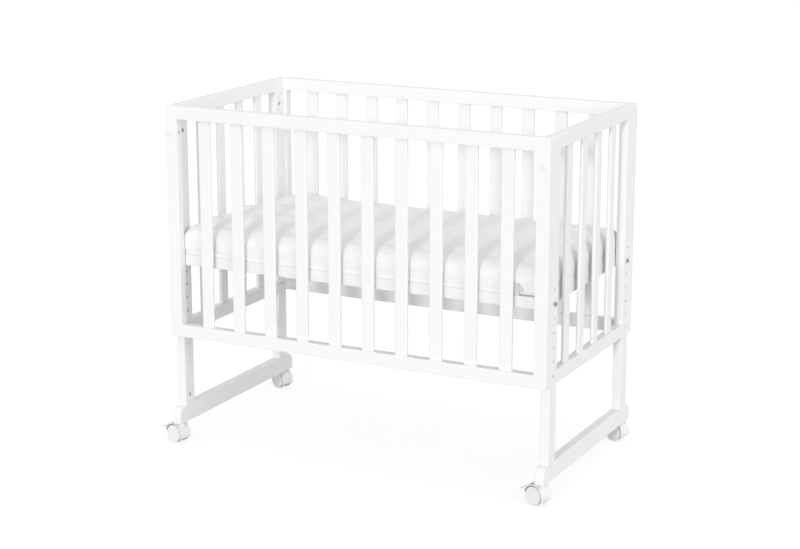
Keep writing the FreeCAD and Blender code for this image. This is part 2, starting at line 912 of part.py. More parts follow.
def caster_axle():
    """The pin that carries both wheels."""
    reach = wheel_outer_face - wheel_face_thickness - axle_end_gap
    return rod(axle_diameter, wheel_centre - ACROSS * reach, ACROSS, 2 * reach)


def caster_wheel():
    """The wheel on the +Y side: rounded tread, plain closed face, hub and blind bore."""
    bore = axle_diameter / 2 + running_clearance
    hub = wheel_hub_diameter / 2
    hub_inner = hood_web_width / 2 + hood_web_gap
    bore_end = wheel_outer_face - wheel_face_thickness
    tread = wheel_radius
    soft = wheel_edge_round
    bend = soft * (1 - math.sqrt(0.5))

    def spot(radius, across):
        return wheel_centre + V(radius, across, 0)

    outline = [
        Part.LineSegment(spot(0, wheel_outer_face), spot(0, bore_end)),
        Part.LineSegment(spot(0, bore_end), spot(bore, bore_end)),
        Part.LineSegment(spot(bore, bore_end), spot(bore, hub_inner)),
        Part.LineSegment(spot(bore, hub_inner), spot(hub, hub_inner)),
        Part.LineSegment(spot(hub, hub_inner), spot(hub, wheel_inner_face)),
        Part.LineSegment(spot(hub, wheel_inner_face), spot(tread - soft, wheel_inner_face)),
        Part.Arc(
            spot(tread - soft, wheel_inner_face),
            spot(tread - bend, wheel_inner_face + bend),
            spot(tread, wheel_inner_face + soft),
        ),
        Part.LineSegment(spot(tread, wheel_inner_face + soft), spot(tread, wheel_outer_face - soft)),
        Part.Arc(
            spot(tread, wheel_outer_face - soft),
            spot(tread - bend, wheel_outer_face - bend),
            spot(tread - soft, wheel_outer_face),
        ),
        Part.LineSegment(spot(tread - soft, wheel_outer_face), spot(0, wheel_outer_face)),
    ]
    return turned(outline, wheel_centre)


def caster_brake():
    """The foot lever: hub with side pins, two pads over the treads and a sloping plate."""
    pivot = polar(brake_pivot_radius, brake_pivot_angle)
    slope = math.radians(brake_slope)
    out = V(math.cos(slope), 0, -math.sin(slope))
    lift = V(math.sin(slope), 0, math.cos(slope))
    half_plate = brake_plate_thickness / 2

    def plate(near, far, half_width, end_half_width):
        corners = [
            pivot + out * near - ACROSS * half_width,
            pivot + out * far - ACROSS * end_half_width,
            pivot + out * far + ACROSS * end_half_width,
            pivot + out * near + ACROSS * half_width,
        ]
        corners = [corner - lift * half_plate for corner in corners]
        face = Part.Face(Part.makePolygon(corners + corners[:1]))
        return face.extrude(lift * brake_plate_thickness)

    hub = rod(
        brake_hub_diameter,
        pivot - ACROSS * brake_half_width,
        ACROSS,
        2 * brake_half_width,
    )
    pin_reach = brake_window_half_width + brake_ear_width
    pin = rod(brake_pin_diameter, pivot - ACROSS * pin_reach, ACROSS, 2 * pin_reach)
    narrow = plate(0, brake_wide_from + weld_overlap, brake_half_width, brake_half_width)
    tip_half_width = brake_plate_half_width - brake_tip_taper
    wide = plate(brake_wide_from, brake_length, brake_plate_half_width, tip_half_width)
    tip_edges = [edge for edge in wide.Edges if runs_along(edge, lift)]
    wide = wide.makeFillet(brake_tip_round, tip_edges)
    lever = hub.fuse([pin, narrow, wide])
    pad_end = polar(wheel_radius + brake_pad_gap, brake_pad_angle)
    pad_run = pad_end - pivot
    pad_side = pad_run.cross(ACROSS).normalize() * (brake_pad_thickness / 2)
    for side in (-1, 1):
        inner = wheel_inner_face + brake_pad_inset
        width = brake_half_width - inner
        start = ACROSS * (inner if side > 0 else -brake_half_width)
        corners = [pivot + pad_side, pad_end + pad_side, pad_end - pad_side, pivot - pad_side]
        corners = [corner + start for corner in corners]
        face = Part.Face(Part.makePolygon(corners + corners[:1]))
        lever = lever.fuse(face.extrude(ACROSS * width))
    start = wheel_centre - ACROSS * wheel_diameter
    tread = rod(2 * (wheel_radius + brake_pad_gap), start, ACROSS, 2 * wheel_diameter)
    return single(lever.cut(tread))


def set_caster(shape, end, side, direction):
    """Turn a caster piece to the way its wheels trail and stand it under its rail."""
    placed = shape.copy()
    placed.rotate(V(0, 0, 0), UP, direction)
    placed.translate(caster_place(end, side))
    return placed


def caster_socket(end, side):
    """The flanged sleeve in the foot rail that a stem turns in."""
    start = caster_place(end, side) + UP * foot_rail_bottom
    sleeve = rod(socket_diameter, start, UP, socket_depth - joint_clearance)
    flange = rod(socket_flange_diameter, start - UP * socket_flange_height, UP, socket_flange_height)
    bore_depth = stem_in_rail + past
    bore = rod(
        stem_diameter + 2 * running_clearance,
        start - UP * (socket_flange_height + past),
        UP,
        bore_depth + socket_flange_height + past,
    )
    return single(sleeve.fuse(flange).cut(bore))


# ---------------------------------------------------------------- front and back panels
front_stile = long_stile(True)
back_stile = mirrored_across(long_stile(False))
top_rail = long_rail(window_top, body_top + past)
bottom_rail = long_rail(body_bottom - past, window_bottom)
slats = long_slat_blocks(0)
panel_bolts = [panel_bolt(), mirrored_along(panel_bolt())]
panel_caps = [panel_cap(), mirrored_along(panel_cap())]
panel_dowels = long_rail_dowels(dowel_diameter, 0) + locating_dowels(dowel_diameter, 0)

save("front_panel_stiles", front_stile, mirrored_along(front_stile))
save("front_panel_top_rail", top_rail)
save("front_panel_bottom_rail", bottom_rail)
save("front_panel_slats", *slats)
save("front_panel_bolts", *panel_bolts)
save("front_panel_bolt_caps", *panel_caps)
save("front_panel_dowels", *panel_dowels)

save("back_panel_stiles", back_stile, mirrored_along(back_stile))
save("back_panel_top_rail", mirrored_across(top_rail))
save("back_panel_bottom_rail", mirrored_across(bottom_rail))
save("back_panel_slats", *[mirrored_across(piece) for piece in slats])
save("back_panel_bolts", *[mirrored_across(piece) for piece in panel_bolts])
save("back_panel_bolt_caps", *[mirrored_across(piece) for piece in panel_caps])

# ---------------------------------------------------------------- end frames
legs = all_corners(front_left_leg())
leg_names = ("leg_front_left", "leg_front_right", "leg_back_left", "leg_back_right")
for name, leg in zip(leg_names, legs):
    save(name, leg)
end_top_rail = end_rail(end_window_top, body_top + past)
end_bottom_rail = end_rail(body_bottom - past, end_window_bottom)
end_slats = end_slat_blocks(0)
end_dowels = end_rail_dowels(dowel_diameter, 0)
left_foot_rail = foot_rail()

save("left_end_top_rail", end_top_rail)
save("left_end_bottom_rail", end_bottom_rail)
save("right_end_top_rail", mirrored_along(end_top_rail))
save("right_end_bottom_rail", mirrored_along(end_bottom_rail))
save("end_panel_slats", *end_slats, *[mirrored_along(piece) for piece in end_slats])
save("left_foot_rail", left_foot_rail)
save("right_foot_rail", mirrored_along(left_foot_rail))
save(
    "frame_dowels",
    *end_dowels,
    *[mirrored_along(piece) for piece in end_dowels],
    *[mirrored_across(piece) for piece in panel_dowels],
)
save("foot_rail_bolts", *all_corners(foot_bolt()))
save(
    "barrel_nuts",
    *all_corners(barrel_nut(panel_bolt_z, ACROSS)),
    *all_corners(barrel_nut(foot_nut_z, UP)),
)
save("caster_sockets", *[caster_socket(end, side) for _, end, side, _ in casters])

# ---------------------------------------------------------------- base and mattress
side_bar = base_side_bar()
end_bar = base_end_bar()
save("base_side_bars", side_bar, mirrored_across(side_bar))
save("base_end_bars", end_bar, mirrored_along(end_bar))
save("base_slats", *base_slats())
save("base_dowels", *base_corner_dowels(dowel_diameter, 0))
save("base_insert_nuts", *all_corners(base_insert()))
save("base_bolts", *all_corners(base_bolt()))
save("mattress", mattress())
save("mattress_label", mattress_label())

# ---------------------------------------------------------------- casters
outer_wheel = caster_wheel()
caster_pieces = {
    "stem": caster_stem(),
    "hood": caster_hood(),
    "axle": caster_axle(),
    "wheel_a": outer_wheel.mirror(wheel_centre, ACROSS),
    "wheel_b": outer_wheel,
    "brake": caster_brake(),
}
for name, end, side, direction in casters:
    for piece, shape in caster_pieces.items():
        save("caster_" + name + "_" + piece, set_caster(shape, end, side, direction))
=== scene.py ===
"""Looks of a bedside sleeper crib: painted wood, a sewn mattress, a blank tape label and twin-wheel casters.

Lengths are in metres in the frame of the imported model: +X along the crib, +Y from front to back, +Z up
from the floor.
"""

from __future__ import annotations

import json
import logging
import math
from dataclasses import dataclass
from enum import Enum

import bmesh
import bpy
from mathutils import Euler, Matrix, Vector, noise

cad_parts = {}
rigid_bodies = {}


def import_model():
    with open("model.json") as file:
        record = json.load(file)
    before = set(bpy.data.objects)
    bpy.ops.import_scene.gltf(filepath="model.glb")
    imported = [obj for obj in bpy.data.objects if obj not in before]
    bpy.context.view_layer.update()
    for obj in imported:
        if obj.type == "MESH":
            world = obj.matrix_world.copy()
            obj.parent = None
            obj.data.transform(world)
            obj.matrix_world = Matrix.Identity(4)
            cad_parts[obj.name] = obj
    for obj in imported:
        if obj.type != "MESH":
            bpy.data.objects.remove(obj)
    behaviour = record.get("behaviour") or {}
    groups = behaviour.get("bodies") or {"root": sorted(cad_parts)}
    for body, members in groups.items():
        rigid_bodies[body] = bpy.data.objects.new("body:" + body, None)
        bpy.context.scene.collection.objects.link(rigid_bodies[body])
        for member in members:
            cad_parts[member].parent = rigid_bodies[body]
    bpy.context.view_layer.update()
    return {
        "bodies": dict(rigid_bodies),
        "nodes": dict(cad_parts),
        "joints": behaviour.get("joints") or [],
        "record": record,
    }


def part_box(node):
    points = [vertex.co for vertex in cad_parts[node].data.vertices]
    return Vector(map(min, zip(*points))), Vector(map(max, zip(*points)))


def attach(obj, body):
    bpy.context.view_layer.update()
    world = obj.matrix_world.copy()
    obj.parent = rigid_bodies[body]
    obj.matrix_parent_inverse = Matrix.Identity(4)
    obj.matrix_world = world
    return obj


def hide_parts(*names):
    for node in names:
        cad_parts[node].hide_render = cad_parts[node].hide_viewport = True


log = logging.getLogger("crib")

MILLIMETRE = 0.001
GLOSS_IOR = 1.49
CORNERS = ("front_left", "front_right", "back_left", "back_right")

Colour = tuple[float, float, float]
Scale = tuple[float, float, float]
Value = float | tuple[float, ...] | bpy.types.NodeSocket
Inputs = dict[str | int, Value]
Owner = bpy.types.Material | bpy.types.World

EVEN: Scale = (1.0, 1.0, 1.0)
WHITE: Colour = (1.0, 1.0, 1.0)


class Axis(Enum):
    """The way a board's grain runs."""

    ALONG = 0
    ACROSS = 1
    UP = 2


# ---------------------------------------------------------------- materials
class NodeGraph:
    """The node tree of a material or a world, with a short call for each kind of node it needs."""

    def __init__(self, owner: Owner) -> None:
        """Start an empty tree.

        Args:
            owner: The material or world that the tree is for.
        """
        owner.use_nodes = True
        self.owner = owner
        self.tree = owner.node_tree
        self.tree.nodes.clear()

    @classmethod
    def of_material(cls, name: str) -> NodeGraph:
        """The empty tree of a new material."""
        return cls(bpy.data.materials.new(name))

    def node(self, kind: str, inputs: Inputs | None = None, **settings: object) -> bpy.types.Node:
        """Add a node, set its properties, and link or set its inputs.

        Args:
            kind: The node's type name.
            inputs: A socket to link from, or a value, for each named or numbered input.
            **settings: Properties of the node itself.

        Returns:
            The new node.
        """
        made = self.tree.nodes.new(kind)
        for key, value in settings.items():
            setattr(made, key, value)
        for key, value in (inputs or {}).items():
            self.feed(made.inputs[key], value)
        return made

    def feed(self, socket: bpy.types.NodeSocket, value: Value) -> None:
        """Link a socket to an output, or set its constant.

        Args:
            socket: The input to feed.
            value: An output socket, or a number, vector or colour.
        """
        if isinstance(value, bpy.types.NodeSocket):
            self.tree.links.new(value, socket)
        elif isinstance(value, tuple) and len(value) == 3 and socket.type == "RGBA":
            socket.default_value = (*value, 1.0)
        else:
            socket.default_value = value

    def place(self, scale: Scale = EVEN, centre: Vector | None = None, turn: float = 0.0) -> Value:
        """The point on the piece, measured from a centre, turned about Z and scaled.

        Args:
            scale: How much each axis is stretched, in repeats for each metre.
            centre: The point that becomes the origin.
            turn: Angle in radians by which the piece is turned back about Z.

        Returns:
            The socket with the point.
        """
        point = self.node("ShaderNodeTexCoord").outputs["Object"]
        if centre is not None:
            moved = self.node("ShaderNodeMapping", {"Vector": point, "Location": tuple(-centre)})
            point = moved.outputs[0]
        if turn:
            turned = self.node("ShaderNodeMapping", {"Vector": point, "Rotation": (0.0, 0.0, -turn)})
            point = turned.outputs[0]
        return self.node("ShaderNodeMapping", {"Vector": point, "Scale": scale}).outputs[0]

    def cloud(self, point: Value, scale: float = 1.0, detail: float = 2.0, roughness: float = 0.5) -> Value:
        """Smooth noise from 0 to 1 at a point.

        Args:
            point: The point.
            scale: Repeats for each unit of the point.
            detail: How many finer layers are added.
            roughness: How strong each finer layer is.

        Returns:
            The socket with the noise.
        """
        made = self.node(
            "ShaderNodeTexNoise",
            {"Vector": point, "Scale": scale, "Detail": detail, "Roughness": roughness},
        )
        return made.outputs["Fac"]

    def threads(self, point: Value, direction: str, scale: float) -> Value:
        """Even parallel threads from 0 to 1.

        Args:
            point: The point.
            direction: The axis, X, Y or Z, along which the threads lie side by side.
            scale: The wave's scale at the point.

        Returns:
            The socket with the threads' height.
        """
        made = self.node(
            "ShaderNodeTexWave",
            {"Vector": point, "Scale": scale, "Distortion": 0.0},
            wave_type="BANDS",
            bands_direction=direction,
        )
        return made.outputs["Fac"]

    def maths(self, operation: str, first: Value, second: Value = 0.0) -> Value:
        """One sum on one or two numbers."""
        return self.node("ShaderNodeMath", {0: first, 1: second}, operation=operation).outputs[0]

    def spread(
        self, value: Value, low: float, high: float, to_low: float = 0.0, to_high: float = 1.0
    ) -> Value:
        """A number moved from one range into another, and held within it.

        Args:
            value: The number.
            low: Start of its own range.
            high: End of its own range.
            to_low: What the start becomes.
            to_high: What the end becomes.

        Returns:
            The socket with the number.
        """
        made = self.node(
            "ShaderNodeMapRange",
            {"Value": value, "From Min": low, "From Max": high, "To Min": to_low, "To Max": to_high},
        )
        return made.outputs["Result"]

    def tint(self, share: Value, first: Value, second: Value) -> Value:
        """A colour between two.

        Args:
            share: How far the colour is from the first to the second, 0 to 1.
            first: The colour at 0.
            second: The colour at 1.

        Returns:
            The socket with the colour.
        """
        made = self.node("ShaderNodeMix", data_type="RGBA")
        self.feed(made.inputs["Factor"], share)
        self.feed(made.inputs["A"], first)
        self.feed(made.inputs["B"], second)
        return made.outputs["Result"]

    def relief(self, height: Value, depth: float, strength: float = 0.6, under: Value | None = None) -> Value:
        """A bumped normal for a height from 0 to 1.

        Args:
            height: The height at each point.
            depth: What a height of 1 stands for, in metres.
            strength: How much of it shows.
            under: A normal that this one lies on.

        Returns:
            The socket with the normal.
        """
        inputs: Inputs = {"Height": height, "Distance": depth, "Strength": strength}
        if under is not None:
            inputs["Normal"] = under
        return self.node("ShaderNodeBump", inputs).outputs["Normal"]

    def finish(self, **inputs: Value) -> bpy.types.Material:
        """Close the tree with the surface shader.

        Args:
            **inputs: Values for the shader's inputs, with underscores for spaces.

        Returns:
            The material.
        """
        named = {key.replace("_", " "): value for key, value in inputs.items()}
        shader = self.node("ShaderNodeBsdfPrincipled", named)
        self.node("ShaderNodeOutputMaterial", {"Surface": shader.outputs[0]})
        return self.owner


def shaded(colour: Colour, share: float) -> Colour:
    """A colour made darker or lighter by a share."""
    return tuple(channel * share for channel in colour)


@dataclass(frozen=True)
class PaintedWood:
    """White satin paint, rolled onto planed boards whose grain shows faintly through it."""

    name: str
    colour: Colour
    grain: Axis
    across_grain: float = 430.0
    along_grain: float = 11.0
    grain_depth: float = 0.00018
    across_boards: float = 26.0
    along_boards: float = 1.6
    board_tone: float = 0.985
    fibre_share: float = 0.35
    roller_pitch: float = 1100.0
    roller_depth: float = 0.00005
    patch_pitch: float = 9.0
    patch_fibres: float = 0.4
    smooth: float = 0.34
    dull: float = 0.47

    def stretched(self, across: float, along: float) -> Scale:
        """A scale with one figure across the grain and another along it."""
        return tuple(along if axis is self.grain else across for axis in Axis)

    def material(self) -> bpy.types.Material:
        """Build the paint over this grain direction.

        Returns:
            The paint.
        """
        graph = NodeGraph.of_material(self.name)
        fine = graph.place(self.stretched(self.across_grain, self.along_grain))
        fibres = graph.cloud(fine, detail=4.0, roughness=0.62)
        broad = graph.place(self.stretched(self.across_boards, self.along_boards))
        boards = graph.cloud(broad, detail=3.0)
        plain = graph.place()
        roller = graph.cloud(plain, self.roller_pitch, detail=1.0)
        patches = graph.cloud(plain, self.patch_pitch, detail=3.0)
        fibre_tone = graph.maths("MULTIPLY", fibres, self.fibre_share)
        board_tone = graph.maths("MULTIPLY", boards, 1.0 - self.fibre_share)
        share = graph.spread(graph.maths("ADD", fibre_tone, board_tone), 0.3, 0.7)
        paint = graph.tint(share, shaded(self.colour, self.board_tone), self.colour)
        uneven = graph.maths("ADD", patches, graph.maths("MULTIPLY", fibres, self.patch_fibres))
        rough = graph.spread(uneven, 0.4, 1.0, self.smooth, self.dull)
        grain = graph.relief(fibres, self.grain_depth)
        normal = graph.relief(roller, self.roller_depth, under=grain)
        return graph.finish(Base_Color=paint, Roughness=rough, Normal=normal, IOR=GLOSS_IOR)


@dataclass(frozen=True)
class TurnedBeech:
    """Bare beech of dowels, with fine flecks along them."""

    name: str
    colour: Colour = (0.60, 0.42, 0.24)
    fleck: Colour = (0.44, 0.27, 0.13)
    fleck_pitch: Scale = (90.0, 90.0, 900.0)
    fleck_depth: float = 0.0002
    smooth: float = 0.55
    dull: float = 0.7

    def material(self) -> bpy.types.Material:
        """Build the bare wood.

        Returns:
            The wood.
        """
        graph = NodeGraph.of_material(self.name)
        fibres = graph.cloud(graph.place(self.fleck_pitch), detail=4.0, roughness=0.6)
        wood = graph.tint(graph.spread(fibres, 0.4, 0.7), self.colour, self.fleck)
        rough = graph.spread(fibres, 0.3, 0.7, self.smooth, self.dull)
        normal = graph.relief(fibres, self.fleck_depth)
        return graph.finish(Base_Color=wood, Roughness=rough, Normal=normal)


@dataclass(frozen=True)
class PlatedSteel:
    """Zinc-plated steel with fine turning marks and a little tarnish."""

    name: str
    colour: Colour = (0.62, 0.62, 0.63)
    tarnish: Colour = (0.50, 0.49, 0.47)
    blotch_pitch: float = 260.0
    mark_pitch: Scale = (5200.0, 700.0, 5200.0)
    mark_depth: float = 0.00003
    smooth: float = 0.26
    dull: float = 0.42

    def material(self) -> bpy.types.Material:
        """Build the plating.

        Returns:
            The metal.
        """
        graph = NodeGraph.of_material(self.name)
        blotches = graph.cloud(graph.place(), self.blotch_pitch, detail=3.0)
        marks = graph.cloud(graph.place(self.mark_pitch))
        metal = graph.tint(graph.spread(blotches, 0.45, 0.7), self.colour, self.tarnish)
        rough = graph.spread(blotches, 0.3, 0.7, self.smooth, self.dull)
        normal = graph.relief(marks, self.mark_depth, 0.5)
        return graph.finish(Base_Color=metal, Metallic=1.0, Roughness=rough, Normal=normal)


@dataclass(frozen=True)
class MouldedPlastic:
    """Moulded plastic with the fine spark texture of its mould."""

    name: str
    colour: Colour
    smooth: float = 0.30
    dull: float = 0.42
    spark_pitch: float = 2600.0
    spark_depth: float = 0.00003
    flow_pitch: float = 70.0
    flow_tone: float = 0.975

    def material(self) -> bpy.types.Material:
        """Build the plastic.

        Returns:
            The plastic.
        """
        graph = NodeGraph.of_material(self.name)
        plain = graph.place()
        spark = graph.cloud(plain, self.spark_pitch)
        flow = graph.cloud(plain, self.flow_pitch)
        share = graph.spread(flow, 0.35, 0.65)
        plastic = graph.tint(share, shaded(self.colour, self.flow_tone), self.colour)
        rough = graph.spread(flow, 0.3, 0.7, self.smooth, self.dull)
        normal = graph.relief(spark, self.spark_depth)
        return graph.finish(Base_Color=plastic, Roughness=rough, Normal=normal, IOR=GLOSS_IOR)


@dataclass(frozen=True)
class AxledPlastic:
    """White plastic about an axle, with painted shade: dull and grey in a band where wheel and hood run
    close.
    """

    name: str
    centre: Vector
    direction: float
    unshaded_radius: float
    shaded_radius: float
    colour: Colour = (0.84, 0.84, 0.835)
    grey: Colour = (0.30, 0.30, 0.295)
    smooth: float = 0.30
    dull: float = 0.62
    shade_patch_pitch: float = 900.0
    spark_pitch: float = 2600.0
    spark_depth: float = 0.00004

    def material(self) -> bpy.types.Material:
        """Build the plastic about the axle.

        Returns:
            The plastic.
        """
        graph = NodeGraph.of_material(self.name)
        point = graph.place(centre=self.centre, turn=self.direction)
        parts = graph.node("ShaderNodeSeparateXYZ", {"Vector": point})
        flat = graph.node("ShaderNodeCombineXYZ", {"X": parts.outputs["X"], "Y": parts.outputs["Z"]})
        run = graph.node("ShaderNodeVectorMath", {0: flat.outputs[0]}, operation="LENGTH").outputs["Value"]
        # Painted shade: a grey band about the axle, broken up by noise, stands in for the shadow in the
        # narrow gap between wheel and hood.
        near, far = sorted((self.unshaded_radius, self.shaded_radius))
        inner_grey = float(near == self.shaded_radius)
        band = graph.spread(run, near, far, inner_grey, 1.0 - inner_grey)
        shade_patches = graph.cloud(graph.place(), self.shade_patch_pitch, detail=3.0, roughness=0.6)
        painted_shade = graph.maths("MULTIPLY", band, graph.spread(shade_patches, 0.35, 0.6, 0.8))
        plastic = graph.tint(painted_shade, self.colour, self.grey)
        rough = graph.spread(painted_shade, 0.0, 1.0, self.smooth, self.dull)
        normal = graph.relief(graph.cloud(point, self.spark_pitch), self.spark_depth)
        return graph.finish(Base_Color=plastic, Roughness=rough, Normal=normal, IOR=GLOSS_IOR)


@dataclass(frozen=True)
class CoverCloth:
    """Tightly woven white cotton over a soft filling."""

    name: str
    colour: Colour
    shade: Colour
    thread_pitch: float = 0.0007
    thread_depth: float = 0.00010
    wobble_pitch: float = 35.0
    wobble_reach: float = 0.0012
    crease_pitch: float = 48.0
    crease_depth: float = 0.0011
    lint_pitch: float = 420.0
    lint_depth: float = 0.00035
    smooth: float = 0.82
    dull: float = 0.94
    sheen: float = 0.12

    def material(self) -> bpy.types.Material:
        """Build the weave, its loose creases with painted shade in their hollows, and its faint fuzz.

        Returns:
            The cloth.
        """
        graph = NodeGraph.of_material(self.name)
        plain = graph.place()
        wobble = graph.maths("MULTIPLY", graph.cloud(plain, self.wobble_pitch), self.wobble_reach)
        bent = graph.node("ShaderNodeVectorMath", {0: plain, 1: wobble}, operation="ADD").outputs["Vector"]
        repeats = 1.0 / (self.thread_pitch * math.tau)
        warp = graph.threads(bent, "X", repeats)
        weft = graph.threads(bent, "Y", repeats)
        rise = graph.threads(bent, "Z", repeats)
        weave = graph.maths("MULTIPLY", graph.maths("ADD", warp, weft), graph.maths("ADD", rise, 0.6))
        soft = graph.cloud(plain, self.crease_pitch, detail=4.0, roughness=0.55)
        lint = graph.cloud(plain, self.lint_pitch, detail=3.0, roughness=0.65)
        # Painted shade, in part: the cloth is darker where the crease bump sinks, with a random tone from the
        # lint noise.
        crease_shade_and_lint = graph.maths("ADD", soft, graph.maths("MULTIPLY", lint, 0.5))
        cloth = graph.tint(graph.spread(crease_shade_and_lint, 0.55, 0.95), self.shade, self.colour)
        creases = graph.relief(soft, self.crease_depth, 0.35)
        fuzz = graph.relief(lint, self.lint_depth, 0.35, creases)
        normal = graph.relief(weave, self.thread_depth, 0.5, fuzz)
        rough = graph.spread(lint, 0.3, 0.7, self.smooth, self.dull)
        sheen = {"Sheen_Weight": self.sheen, "Sheen_Roughness": 0.6}
        return graph.finish(Base_Color=cloth, Roughness=rough, Normal=normal, **sheen)


@dataclass(frozen=True)
class WovenTape:
    """Satin-woven tape of a label, ribbed across, with two darker borders and nothing on it."""

    name: str
    strip: str
    half_width: float
    colour: Colour = (0.745, 0.742, 0.76)
    border: Colour = (0.56, 0.555, 0.585)
    border_width: float = 0.0022
    border_blend: float = 0.0006
    rib_pitch: float = 0.00055
    border_share: float = 0.75
    yarn_pitch: float = 0.0004
    weave_depth: float = 0.00012
    lint_pitch: float = 700.0
    lint_tone: float = 0.9
    smooth: float = 0.5
    dull: float = 0.65
    sheen: float = 0.25

    def material(self) -> bpy.types.Material:
        """Build the tape on the strip's own map, in metres: X across it from its middle, Y along it.

        Returns:
            The tape.
        """
        graph = NodeGraph.of_material(self.name)
        point = graph.node("ShaderNodeUVMap", uv_map=self.strip).outputs["UV"]
        parts = graph.node("ShaderNodeSeparateXYZ", {"Vector": point})
        side = graph.maths("ABSOLUTE", parts.outputs["X"])
        inner = self.half_width - self.border_width
        edge = graph.spread(side, inner, inner + self.border_blend)
        ribs = graph.threads(point, "Y", 1.0 / (self.rib_pitch * math.tau))
        yarns = graph.threads(point, "X", 1.0 / (self.yarn_pitch * math.tau))
        weave = graph.maths("MULTIPLY", ribs, graph.maths("ADD", yarns, 0.5))
        lint = graph.cloud(point, self.lint_pitch)
        ground = graph.tint(graph.spread(lint, 0.3, 0.7), shaded(self.colour, self.lint_tone), self.colour)
        tape = graph.tint(graph.maths("MULTIPLY", edge, self.border_share), ground, self.border)
        normal = graph.relief(weave, self.weave_depth, 0.7)
        rough = graph.spread(lint, 0.3, 0.7, self.smooth, self.dull)
        sheen = {"Sheen_Weight": self.sheen, "Sheen_Roughness": 0.4}
        return graph.finish(Base_Color=tape, Roughness=rough, Normal=normal, **sheen)


# ---------------------------------------------------------------- mesh help
def linked(name: str, mesh: bpy.types.Mesh) -> bpy.types.Object:
    """Put a mesh into the scene as an object at the origin.

    Args:
        name: The object's name.
        mesh: Its mesh.

    Returns:
        The object.
    """
    made = bpy.data.objects.new(name, mesh)
    bpy.context.scene.collection.objects.link(made)
    return made


def baked(source: bpy.types.Object, name: str) -> bpy.types.Mesh:
    """The mesh an object has with its modifiers, as a mesh of its own.

    Args:
        source: The object.
        name: The new mesh's name.

    Returns:
        The new mesh.
    """
    bpy.context.view_layer.update()
    graph = bpy.context.evaluated_depsgraph_get()
    mesh = bpy.data.meshes.new_from_object(source.evaluated_get(graph), depsgraph=graph)
    mesh.name = name
    return mesh


def discard(thing: bpy.types.Object) -> None:
    """Take an object and its mesh out of the file.

    Args:
        thing: The object.
    """
    mesh = thing.data
    bpy.data.objects.remove(thing)
    bpy.data.meshes.remove(mesh)


def dress(thing: bpy.types.Object, material: bpy.types.Material) -> None:
    """Give every material slot of an object one material.

    Args:
        thing: The object.
        material: The material.
    """
    if not thing.material_slots:
        thing.data.materials.append(material)
    for slot in thing.material_slots:
        slot.material = material


def middle(node: str) -> Vector:
    """The middle of a node's box."""
    low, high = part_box(node)
    return (low + high) / 2


def bell(distance: float, width: float) -> float:
    """A smooth hump that is 1 at no distance and fades over a width."""
    return math.exp(-((distance / width) ** 2))


def ease(value: float, low: float, high: float) -> float:
    """A smooth step from 0 at one value to 1 at another.

    Args:
        value: The value.
        low: Where the step starts.
        high: Where it ends.

    Returns:
        The share, from 0 to 1.
    """
    share = min(1.0, max(0.0, (value - low) / (high - low)))
    return share * share * (3.0 - 2.0 * share)


# ---------------------------------------------------------------- painted frame
@dataclass
class PaintedFrame:
    """The boards of the crib, each painted over its own grain direction."""

    nodes: dict[str, bpy.types.Object]
    paint: Colour = (0.866, 0.867, 0.862)
    base_paint: Colour = (0.872, 0.872, 0.864)

    def body_boards(self) -> dict[Axis, list[str]]:
        """The body's nodes of each grain direction.

        Returns:
            Node names for each direction.
        """
        panels = ("front_panel", "back_panel")
        levels = ("top", "bottom")
        uprights = [f"{panel}_{piece}" for panel in panels for piece in ("stiles", "slats")]
        legs = [f"leg_{corner}" for corner in CORNERS]
        end_rails = [f"{end}_end_{level}_rail" for end in ("left", "right") for level in levels]
        return {
            Axis.ALONG: [f"{panel}_{level}_rail" for panel in panels for level in levels],
            Axis.UP: [*uprights, *legs, "end_panel_slats"],
            Axis.ACROSS: [*end_rails, "left_foot_rail", "right_foot_rail"],
        }

    def paint_boards(self, coat: str, colour: Colour, boards: dict[Axis, list[str]]) -> None:
        """Paint boards in one colour, each over its own grain.

        Args:
            coat: The start of the materials' names.
            colour: The paint's colour.
            boards: Node names for each grain direction.
        """
        for grain, names in boards.items():
            paint = PaintedWood(f"{coat}_{grain.name.lower()}", colour, grain).material()
            for name in names:
                dress(self.nodes[name], paint)
                log.info("painted %s, grain %s", name, grain.name.lower())

    def build(self) -> None:
        """Paint the body's boards and the base's bars and slats."""
        self.paint_boards("satin_white", self.paint, self.body_boards())
        base = {Axis.ALONG: ["base_side_bars"], Axis.ACROSS: ["base_end_bars", "base_slats"]}
        self.paint_boards("base_white", self.base_paint, base)


@dataclass
class Fittings:
    """Bolts, nuts, dowels, caps and sleeves."""

    nodes: dict[str, bpy.types.Object]
    steel: PlatedSteel = PlatedSteel("zinc_plate")
    dark: PlatedSteel = PlatedSteel("dark_plate", colour=(0.40, 0.40, 0.405), tarnish=(0.30, 0.295, 0.29))
    yellow: PlatedSteel = PlatedSteel("zinc_yellow", colour=(0.60, 0.56, 0.46), tarnish=(0.48, 0.43, 0.33))
    beech: TurnedBeech = TurnedBeech("bare_beech")
    caps: MouldedPlastic = MouldedPlastic("cap_white", (0.835, 0.835, 0.83), smooth=0.42, dull=0.55)
    nylon: MouldedPlastic = MouldedPlastic("sleeve_nylon", (0.66, 0.66, 0.65), smooth=0.42, dull=0.55)

    def build(self) -> None:
        """Finish every fitting."""
        pins = [f"caster_{corner}_{pin}" for corner in CORNERS for pin in ("stem", "axle")]
        groups = (
            (self.steel, ["front_panel_bolts", "back_panel_bolts", "foot_rail_bolts", *pins]),
            (self.dark, ["base_bolts"]),
            (self.yellow, ["barrel_nuts", "base_insert_nuts"]),
            (self.beech, ["front_panel_dowels", "frame_dowels", "base_dowels"]),
            (self.caps, ["front_panel_bolt_caps", "back_panel_bolt_caps"]),
            (self.nylon, ["caster_sockets"]),
        )
        for finish, names in groups:
            material = finish.material()
            for name in names:
                dress(self.nodes[name], material)
                log.info("finished %s in %s", name, finish.name)


